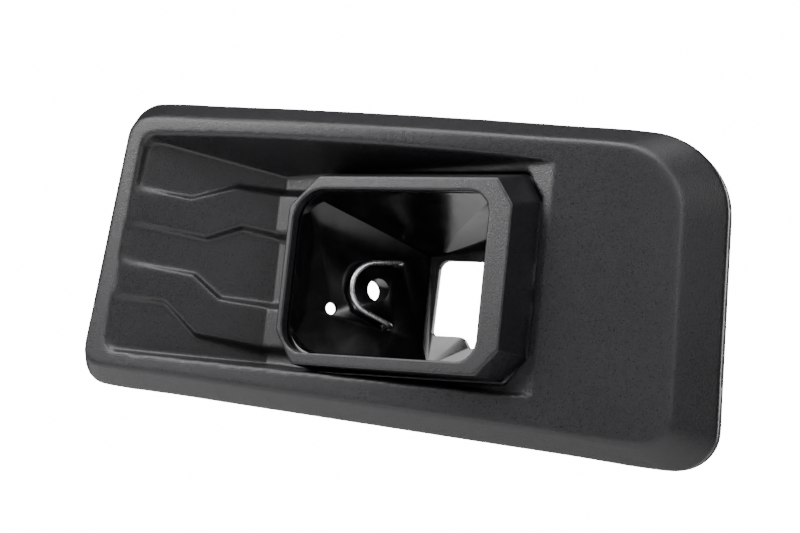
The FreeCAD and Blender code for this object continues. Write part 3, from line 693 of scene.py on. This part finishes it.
def screw_tree() -> GrowthTree:
    """Pan-head screw with a cross recess: head above the seed, threaded shank below it."""
    made = GrowthTree("pan_head_screws", {"Head Radius": 3.4 * MM, "Head Height": 2.2 * MM,
                                          "Shank Radius": 1.5 * MM, "Length": 10.5 * MM, "Pitch": 1.1 * MM})
    rim_share, dome_share = 0.55, 0.45          # of the head's height
    dome_top, arm_reach, arm_width = 0.66, 1.05, 0.2    # of the head's radius
    core_share = 0.8                            # of the shank's radius
    tip_share, thread_ride, thread_wire = 1.2, 1.02, 0.22   # of the core's radius
    radius, height, length = made.size("Head Radius"), made.size("Head Height"), made.size("Length")
    rim = made.cone(radius, radius, made.times(height, rim_share))
    dome = made.cone(made.times(radius, dome_top), radius, made.times(height, dome_share),
                     made.times(height, rim_share))
    cutters = []
    for long_way in (0, 1):
        arm = made.times(radius, arm_reach)
        slim = made.times(radius, arm_width)
        box = add_node(made.tree, "ShaderNodeCombineXYZ", {}, {},
                       {"X": slim if long_way else arm, "Y": arm if long_way else slim, "Z": height})
        bar = add_node(made.tree, "GeometryNodeMeshCube", {}, {}, {"Size": box.outputs["Vector"]})
        cutters.append(made.lifted(bar.outputs["Mesh"], height))
    head = add_node(made.tree, "GeometryNodeMeshBoolean", {"operation": "UNION"}, {},
                    {"Mesh 2": [rim, dome]})
    cut = add_node(made.tree, "GeometryNodeMeshBoolean", {"operation": "DIFFERENCE"}, {},
                   {"Mesh 1": head.outputs["Mesh"], "Mesh 2": cutters})
    core = made.times(made.size("Shank Radius"), core_share)
    foot = made.times(length, -1.0)
    shank = made.cone(core, core, length, foot, 20)
    turns = made.math("DIVIDE", length, made.size("Pitch"))
    thread = made.swept(made.helix(made.times(core, thread_ride), turns, length, 20),
                        made.times(core, thread_wire), 6)
    thread = made.lifted(thread, foot)
    tip_height = made.times(core, tip_share)
    tip_base = made.times(made.math("ADD", length, tip_height), -1.0)
    tip = made.cone(core, 0.1 * MM, tip_height, tip_base, 20)
    made.finish(made.on_seeds(made.joined([cut.outputs["Mesh"], shank, thread, tip]), REARWARD))
    return made


def insert_tree() -> GrowthTree:
    """Threaded insert: a chamfered sleeve with a helical thread in its bore; the seed is its mouth."""
    made = GrowthTree("threaded_inserts", {"Outer Radius": 3.5 * MM, "Bore": 2.5 * MM, "Length": 10.0 * MM,
                                           "Pitch": 0.8 * MM})
    chamfer, lead_in, thread_wire = 0.3 * MM, 0.6 * MM, 0.22 * MM
    outer, bore, length = made.size("Outer Radius"), made.size("Bore"), made.size("Length")
    body = made.cone(made.math("SUBTRACT", outer, chamfer), outer, chamfer, -chamfer, 48)
    lower = made.cone(outer, outer, made.math("SUBTRACT", length, chamfer), made.times(length, -1.0), 48)
    solid = add_node(made.tree, "GeometryNodeMeshBoolean", {"operation": "UNION"}, {},
                     {"Mesh 2": [body, lower]})
    hole = made.cone(bore, bore, 40.0 * MM, -20.0 * MM, 40)
    lead = made.cone(made.math("ADD", bore, lead_in), bore, lead_in, -lead_in, 40)
    lead = made.lifted(lead, 0.02 * MM)
    sleeve = add_node(made.tree, "GeometryNodeMeshBoolean", {"operation": "DIFFERENCE"}, {},
                      {"Mesh 1": solid.outputs["Mesh"], "Mesh 2": [hole, lead]})
    threaded = made.math("SUBTRACT", length, 1.2 * MM)
    turns = made.math("DIVIDE", threaded, made.size("Pitch"))
    thread = made.swept(made.helix(bore, turns, threaded, 24), thread_wire, 6)
    thread = made.lifted(thread, made.math("SUBTRACT", 0.2 * MM, length))
    made.finish(made.on_seeds(made.joined([sleeve.outputs["Mesh"], thread]), REARWARD))
    return made


def push_clip_tree() -> GrowthTree:
    """Push-in panel clip: seat disc, stem and a row of barbs; the seed is where it seats."""
    made = GrowthTree("push_clips", {"Seat Radius": 5.5 * MM, "Stem Radius": 2.4 * MM,
                                     "Barb Radius": 3.9 * MM, "Barb Spacing": 3.0 * MM,
                                     "Length": 14.0 * MM})
    nose_height, root_radius, root_length = 3.0 * MM, 1.95 * MM, 7.5 * MM
    seat_radius, stem_radius = made.size("Seat Radius"), made.size("Stem Radius")
    straight = made.math("SUBTRACT", made.size("Length"), nose_height)
    seat = made.cone(made.times(seat_radius, 0.93), seat_radius, 1.4 * MM)
    stem = made.cone(stem_radius, stem_radius, straight)
    nose = made.cone(0.8 * MM, stem_radius, nose_height, straight)
    root = made.cone(root_radius, root_radius, root_length, -root_length)
    barb = made.cone(made.times(stem_radius, 0.98), made.size("Barb Radius"), 2.4 * MM)
    step = add_node(made.tree, "ShaderNodeCombineXYZ", {}, {}, {"Z": made.size("Barb Spacing")})
    row = add_node(made.tree, "GeometryNodeMeshLine", {},
                   {"Count": 3, "Start Location": (0, 0, 4.4 * MM)}, {"Offset": step.outputs["Vector"]})
    barbs = add_node(made.tree, "GeometryNodeInstanceOnPoints", {}, {},
                     {"Points": row.outputs["Mesh"], "Instance": barb})
    made.finish(made.on_seeds(made.joined([seat, stem, nose, root, barbs.outputs["Instances"]]), REARWARD))
    return made


def wire_tree() -> GrowthTree:
    """Bent wire along the seed's edges, with a bend radius kept on each vertex."""
    made = GrowthTree("bent_wire", {"Wire Radius": 1.0 * MM})
    path = add_node(made.tree, "GeometryNodeMeshToCurve", {}, {}, {"Mesh": made.source.outputs["Geometry"]})
    bend = add_node(made.tree, "GeometryNodeInputNamedAttribute", {"data_type": "FLOAT"}, {"Name": "bend"})
    round_path = add_node(made.tree, "GeometryNodeFilletCurve", {"mode": "POLY"}, {"Count": 14},
                          {"Curve": path.outputs["Curve"], "Radius": bend.outputs["Attribute"]})
    made.finish(made.swept(round_path.outputs["Curve"], made.size("Wire Radius"), 20))
    return made


def torsion_spring_tree() -> GrowthTree:
    """Torsion spring on each seed: a close coil with one leg back and one leg to the side."""
    made = GrowthTree("torsion_spring", {"Mean Radius": 4.85 * MM, "Wire Radius": 0.55 * MM,
                                         "Pitch": 1.3 * MM, "Turns": 4.5, "Rear Leg": 9.5 * MM,
                                         "Side Leg": 4.6 * MM})
    mean, turns, wire_radius = made.size("Mean Radius"), made.size("Turns"), made.size("Wire Radius")
    height = made.times(made.size("Pitch"), turns)
    coil = made.helix(mean, turns, height, 48)
    quarter = add_node(made.tree, "GeometryNodeTransform", {}, {"Rotation": (0, 0, math.pi / 2)},
                       {"Geometry": coil})
    legs = []
    for sign, reach, level in ((1.0, made.times(made.size("Rear Leg"), -1.0), 0.0),
                               (-1.0, made.size("Side Leg"), height)):
        side = made.times(mean, sign)
        start, stop = (add_node(made.tree, "ShaderNodeCombineXYZ", {},
                                *sort_inputs({"X": x, "Y": side, "Z": level})) for x in (0.0, reach))
        leg = add_node(made.tree, "GeometryNodeCurvePrimitiveLine", {}, {},
                       {"Start": start.outputs["Vector"], "End": stop.outputs["Vector"]})
        legs.append(made.swept(leg.outputs["Curve"], wire_radius, 14))
    wire = made.swept(quarter.outputs["Geometry"], wire_radius, 14)
    made.finish(made.on_seeds(made.joined([wire, *legs]), (0.0, 0.0, 0.0)))
    return made


@dataclass
class SubAssembly:
    """Common work of the sub-assemblies: dressing, riding and reporting."""

    shelf: FinishShelf

    def fit(self, piece: bpy.types.Object, finish: Any, slot: Slot, body: Body,
            *nodes: str) -> bpy.types.Object:
        """Dress a new piece, stand it for its CAD nodes and let it ride.

        Args:
            piece: the finished mesh object.
            finish: the finish it is dressed in.
            slot: the record's material slot; not used.
            body: the CAD body it moves with.
            nodes: the CAD nodes that it stands for.

        Returns:
            The same object.
        """
        piece.data.materials.clear()
        piece.data.materials.append(self.shelf.take(finish))
        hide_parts(*nodes)
        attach(piece, body.value)
        LOG.info("%s: %d faces, rides on %s", piece.name, len(piece.data.polygons), body.value)
        return piece

    def keep(self, node: str, finish: Any) -> None:
        """Show a CAD node as it is, in a better material.

        Args:
            node: the CAD node.
            finish: the finish it is dressed in.
        """
        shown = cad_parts[node]
        shown.data.materials.clear()
        shown.data.materials.append(self.shelf.take(finish))
        LOG.info("%s: CAD shape kept", node)


@dataclass
class Escutcheon(SubAssembly):
    """Grained face panel with its fluted finger ramp, edge foam and push-in clips."""

    face_radius: float = 900.0 * MM
    face_tangent_x: float = -150.0 * MM
    face_tangent_y: float = -8.7 * MM
    rim_band: float = 3.5 * MM
    fade_band: float = 3.0 * MM
    crisp_x: tuple[float, float] = (44.0 * MM, 75.0 * MM)
    crisp_z: float = 46.0 * MM
    lip_z: float = -25.0 * MM
    left_bevel_x: float = -120.5 * MM
    clip_seat: float = 13.0 * MM
    clip_spots: tuple[tuple[float, float], ...] = (
        (-92.0, 53.8), (-125.0, -30.0), (88.0, 40.0), (92.0, -42.0))

    def face_y(self, x: Any) -> Any:
        """Depth of the bent face at x, for a number or an array."""
        run = x - self.face_tangent_x
        return RIM_Y + self.face_tangent_y + self.face_radius - np.sqrt(self.face_radius ** 2 - run ** 2)

    def near_face(self, place: np.ndarray) -> np.ndarray:
        """Weight that is one at the face and fades out below it, and at the edges that stay crisp."""
        x, y, z = place.T
        below = y - self.face_y(x)
        weight = np.clip((self.rim_band + self.fade_band - below) / self.fade_band, 0.0, 1.0)
        beside_collar = (x > self.crisp_x[0]) & (x < self.crisp_x[1]) & (np.abs(z) < self.crisp_z)
        lower_lip = (x < self.crisp_x[1]) & (z < self.lip_z)
        weight = np.where(beside_collar, 0.0, weight)
        weight = np.where(lower_lip, 0.4 * weight, weight)
        return np.where(x < self.left_bevel_x, 0.15 * weight, weight)

    def build(self) -> None:
        """Build every piece."""
        shell = SoftenedShell("bezel", "escutcheon", voxel_mm=0.7, passes=2, most_triangles=194000,
                              extra_passes=12, extra_weight=self.near_face).build()
        self.fit(shell, ESCUTCHEON_PP, Slot.GRAINED, Body.HOUSING, "bezel")
        self.keep("edge_gasket", STRIP_FOAM)
        seats = [Vector((x * MM, float(self.face_y(x * MM)) + self.clip_seat, z * MM))
                 for x, z in self.clip_spots]
        clips = push_clip_tree().grow(seed_points("push_in_clips", seats), self.shelf.take(BEARING_ACETAL))
        self.fit(clips, BEARING_ACETAL, Slot.ACETAL, Body.HOUSING, "panel_clips")


@dataclass
class CollarFrame(SubAssembly):
    """Octagonal collar round the pocket's mouth and the screws behind it."""

    screw_spots: tuple[tuple[float, float], ...] = (
        (-22.0, 36.9), (22.0, 36.9), (46.9, 18.0), (46.9, -18.0))
    flange_back: float = -20.0 * MM

    def build(self) -> None:
        """Build every piece."""
        shell = SoftenedShell("collar", "mouth_collar", voxel_mm=0.5, passes=4,
                              most_triangles=150000).build()
        self.fit(shell, COLLAR_PP, Slot.COLLAR, Body.HOUSING, "collar")
        seats = [Vector((x * MM, self.flange_back, z * MM)) for x, z in self.screw_spots]
        screws = screw_tree().grow(seed_points("collar_fixing_screws", seats),
                                   self.shelf.take(PLATED_STEEL),
                                   Head_Radius=2.6 * MM, Head_Height=1.8 * MM, Shank_Radius=1.25 * MM,
                                   Length=11.5 * MM, Pitch=1.0 * MM)
        self.fit(screws, PLATED_STEEL, Slot.ZINC, Body.HOUSING, "collar_screws")


@dataclass
class FingerPocket(SubAssembly):
    """Gloss pocket housing with its wire clip, nuts, inserts and screws."""

    wall_start: tuple[float, float] = (-41.0, 12.0)
    wall_along: tuple[float, float] = (0.6196, 0.7849)
    wire_route: tuple[tuple[float, float, float, float], ...] = (
        (35.4, 9.0, -8.0, 0.0), (35.4, 9.0, 4.0, 2.6), (-17.5, 1.9, 4.0, 10.0),
        (33.5, -15.9, 4.0, 2.6), (33.5, -15.9, -8.0, 0.0))
    fixing_x: float = 40.0 * MM
    fixing_z: float = 38.0 * MM
    flange_back: float = -20.0 * MM
    screw_spots: tuple[tuple[float, float], ...] = (
        (-53.0, 38.0), (-53.0, -36.0), (54.0, 39.0), (54.0, -38.5))

    def on_wall(self, run: float, height: float, stand_off: float) -> Vector:
        """Point by its run along the slanted wall, its height and its stand-off, in millimetres."""
        along_x, along_y = self.wall_along
        x = self.wall_start[0] + run * along_x + stand_off * along_y
        y = self.wall_start[1] + run * along_y - stand_off * along_x
        return Vector((x * MM, RIM_Y + y * MM, height * MM))

    def build(self) -> None:
        """Build every piece."""
        shell = bevelled_copy("pocket_housing", "pocket", 0.5)
        self.fit(shell, POCKET_ABS, Slot.GLOSS, Body.HOUSING, "pocket_housing")
        spots = [self.on_wall(run, height, off) for run, height, off, _ in self.wire_route]
        bends = [bend for *_, bend in self.wire_route]
        wire = wire_tree().grow(seed_points("wire_clip_bent", spots, True, bends),
                                self.shelf.take(CLIP_WIRE))
        self.fit(wire, CLIP_WIRE, Slot.SPRING, Body.HOUSING, "wire_clip")
        self.keep("wire_nuts", PLATED_STEEL)
        mouths = [Vector((x, 0.0, z)) for x in (-self.fixing_x, self.fixing_x)
                  for z in (-self.fixing_z, self.fixing_z)]
        inserts = insert_tree().grow(seed_points("threaded_mounting_inserts", mouths),
                                     self.shelf.take(TURNED_BRASS))
        self.fit(inserts, TURNED_BRASS, Slot.BRASS, Body.HOUSING, "mounting_inserts")
        seats = [Vector((x * MM, self.flange_back, z * MM)) for x, z in self.screw_spots]
        screws = screw_tree().grow(seed_points("housing_fixing_screws", seats),
                                   self.shelf.take(PLATED_STEEL))
        self.fit(screws, PLATED_STEEL, Slot.ZINC, Body.HOUSING, "housing_screws")


@dataclass
class PaddleMechanism(SubAssembly):
    """Release paddle on its pin, with its return spring, rod clip and bumpers."""

    pivot: tuple[float, float] = (35.0, -16.0)
    spring_base: float = 13.2

    def build(self) -> None:
        """Build every piece."""
        paddle = SoftenedShell("release_paddle", "finger_paddle", voxel_mm=0.4, passes=3,
                               most_triangles=60000).build()
        self.fit(paddle, PADDLE_NYLON, Slot.PADDLE, Body.PADDLE, "release_paddle")
        pad = SoftenedShell("paddle_pad", "paddle_grip_pad", voxel_mm=0.25, passes=2,
                            most_triangles=40000).build()
        self.fit(pad, BUMPER_RUBBER, Slot.RUBBER, Body.PADDLE, "paddle_pad")
        x, y = self.pivot
        low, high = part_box("pivot_pin")
        pin_low, pin_high = low.z / MM, high.z / MM
        profile = [(0, pin_low), (2.1, pin_low), (2.5, pin_low + 0.4), (2.5, pin_low + 1.7),
                   (2.0, pin_low + 1.7), (2.0, pin_low + 2.6), (2.5, pin_low + 2.6),
                   (2.5, pin_high - 1.6), (3.5, pin_high - 1.6), (3.7, pin_high - 1.4),
                   (3.7, pin_high - 0.5), (3.2, pin_high), (0, pin_high)]
        pin = lathe("hinge_pin", profile, Vector((x * MM, y * MM, 0)), Vector((0, 0, 1)))
        self.fit(pin, PLATED_STEEL, Slot.ZINC, Body.PADDLE, "pivot_pin")
        self.keep("pin_clip", SPRING_WIRE)
        self.keep("pivot_bushings", BEARING_ACETAL)
        self.keep("rod_clip", BEARING_ACETAL)
        seat = [Vector((x * MM, y * MM, self.spring_base * MM))]
        spring = torsion_spring_tree().grow(seed_points("torsion_return_spring", seat),
                                            self.shelf.take(SPRING_WIRE))
        self.fit(spring, SPRING_WIRE, Slot.SPRING, Body.HOUSING, "return_spring")
        self.build_bumper("rest_bumper", "rest_stop_bumper")
        self.build_bumper("end_bumper", "end_stop_bumper")

    def build_bumper(self, node: str, name: str) -> None:
        """Domed rubber bumper with a neck through the plastic.

        Args:
            node: the CAD node that gives its place.
            name: the new piece's name.
        """
        low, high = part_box(node)
        centre = (low + high) / 2
        height = (high.y - low.y) / MM - 3.0
        base = Vector((centre.x, high.y - 3.0 * MM, centre.z))
        profile = [(0, -3.0), (1.2, -3.0), (1.5, -2.7), (1.5, 0), (2.8, 0), (3.0, 0.2), (3.0, height - 1.0),
                   (2.8, height - 0.5), (2.2, height - 0.1), (1.2, height), (0, height)]
        bumper = lathe(name, profile, base, Vector((0, -1, 0)))
        self.fit(bumper, BUMPER_RUBBER, Slot.RUBBER, Body.HOUSING, node)


# ---- studio --------------------------------------------------------------------------------
@dataclass(frozen=True)
class Softbox:
    """Area light given by the direction it shines from."""

    name: str
    azimuth: float
    elevation: float
    distance: float
    width: float
    height: float
    power: float

    def build(self, target: Vector) -> None:
        """Place the light and turn it towards the target."""
        lamp = bpy.data.lights.new(self.name, "AREA")
        lamp.shape = "RECTANGLE"
        lamp.size = self.width
        lamp.size_y = self.height
        lamp.energy = self.power
        holder = bpy.data.objects.new(self.name, lamp)
        bpy.context.scene.collection.objects.link(holder)
        around, up = math.radians(self.azimuth), math.radians(self.elevation)
        back = Vector((math.sin(around) * math.cos(up), -math.cos(around) * math.cos(up), math.sin(up)))
        holder.location = target + back * self.distance
        holder.rotation_euler = back.to_track_quat("Z", "Y").to_euler()


@dataclass
class Studio:
    """Camera, pale floor, white surround and soft lights."""

    azimuth: float = 30.0
    elevation: float = -7.06
    roll: float = 6.03
    distance: float = 0.691
    aim_right: float = 3.8 * MM
    aim_up: float = 2.2 * MM
    lens: float = 85.5
    floor_drop: float = 0.24
    floor_radius: float = 1.1
    surround: float = 0.05
    backdrop: float = 16.0
    target: Vector = field(default_factory=lambda: Vector((0.0, RIM_Y, 0.0)))
    lights: tuple[Softbox, ...] = (
        Softbox("left_key", -38.0, 25.0, 0.95, 0.5, 0.6, 10.0),
        Softbox("overhead", 4.0, 68.0, 0.9, 0.9, 0.7, 14.0),
        Softbox("right_fill", 58.0, 24.0, 1.1, 0.4, 0.6, 4.5),
        Softbox("pocket_fill", 24.0, 16.0, 1.1, 0.15, 0.3, 1.0),
        Softbox("rear_fill", 160.0, 15.0, 1.0, 0.6, 0.6, 5.0))

    def build_camera(self) -> None:
        """Camera at the measured angle, with its small roll."""
        around, up, roll = (math.radians(a) for a in (self.azimuth, self.elevation, self.roll))
        back = Vector((math.sin(around) * math.cos(up), -math.cos(around) * math.cos(up), math.sin(up)))
        level_right = Vector((math.cos(around), math.sin(around), 0.0))
        level_up = back.cross(level_right)
        right = level_right * math.cos(roll) + level_up * math.sin(roll)
        upward = level_up * math.cos(roll) - level_right * math.sin(roll)
        eye = self.target + back * self.distance + right * self.aim_right + upward * self.aim_up
        lens = bpy.data.cameras.new("view_camera")
        lens.lens = self.lens
        lens.clip_start = 0.01
        holder = bpy.data.objects.new("view_camera", lens)
        bpy.context.scene.collection.objects.link(holder)
        turn = Matrix((right, upward, back)).transposed()
        holder.matrix_world = Matrix.Translation(eye) @ turn.to_4x4()
        bpy.context.scene.camera = holder

    def build_floor(self) -> None:
        """Round, pale floor well below the object."""
        shell = bmesh.new()
        bmesh.ops.create_circle(shell, cap_ends=True, segments=96, radius=self.floor_radius)
        bmesh.ops.translate(shell, verts=shell.verts, vec=(0.0, 0.0, -self.floor_drop))
        mesh = bpy.data.meshes.new("studio_floor")
        shell.to_mesh(mesh)
        shell.free()
        material, tree, output = blank_material("matt_white_floor")
        place = add_node(tree, "ShaderNodeTexCoord").outputs["Object"]
        wash = add_node(tree, "ShaderNodeTexNoise", {}, {"Scale": 3.0}, {"Vector": place})
        tone = add_node(tree, "ShaderNodeMix", {"data_type": "RGBA"},
                        {6: srgb("#ececec"), 7: srgb("#f4f4f4")}, {0: wash.outputs["Fac"]})
        shader = add_node(tree, "ShaderNodeBsdfPrincipled", {}, {"Roughness": 0.9},
                          {"Base Color": tone.outputs[2]})
        tree.links.new(shader.outputs["BSDF"], output.inputs["Surface"])
        mesh.materials.append(material)
        linked("studio_floor", mesh)

    def build_surround(self) -> None:
        """White behind the object, and a dimmer grey for everything that lights it."""
        world = bpy.data.worlds.new("studio_surround")
        bpy.context.scene.world = world
        world.use_nodes = True
        tree = world.node_tree
        tree.nodes.clear()
        seen = add_node(tree, "ShaderNodeLightPath").outputs["Is Camera Ray"]
        glow = add_node(tree, "ShaderNodeBackground", {},
                        {"Color": (1, 1, 1, 1), "Strength": self.surround})
        white = add_node(tree, "ShaderNodeBackground", {},
                         {"Color": (1, 1, 1, 1), "Strength": self.backdrop})
        both = add_node(tree, "ShaderNodeMixShader", {}, {},
                        {0: seen, 1: glow.outputs["Background"], 2: white.outputs["Background"]})
        add_node(tree, "ShaderNodeOutputWorld", {}, {}, {"Surface": both.outputs["Shader"]})

    def build(self) -> None:
        """Set up everything round the object."""
        self.build_camera()
        self.build_floor()
        self.build_surround()
        for light in self.lights:
            light.build(self.target)


def main() -> None:
    """Build the sub-assemblies in order, then the studio."""
    logging.basicConfig(level=logging.INFO, format="%(name)s %(message)s")
    shelf = FinishShelf()
    for assembly in (Escutcheon(shelf), CollarFrame(shelf), FingerPocket(shelf), PaddleMechanism(shelf)):
        LOG.info("building %s", type(assembly).__name__)
        assembly.build()
    Studio().build()


if __name__ == "__main__":
    main()
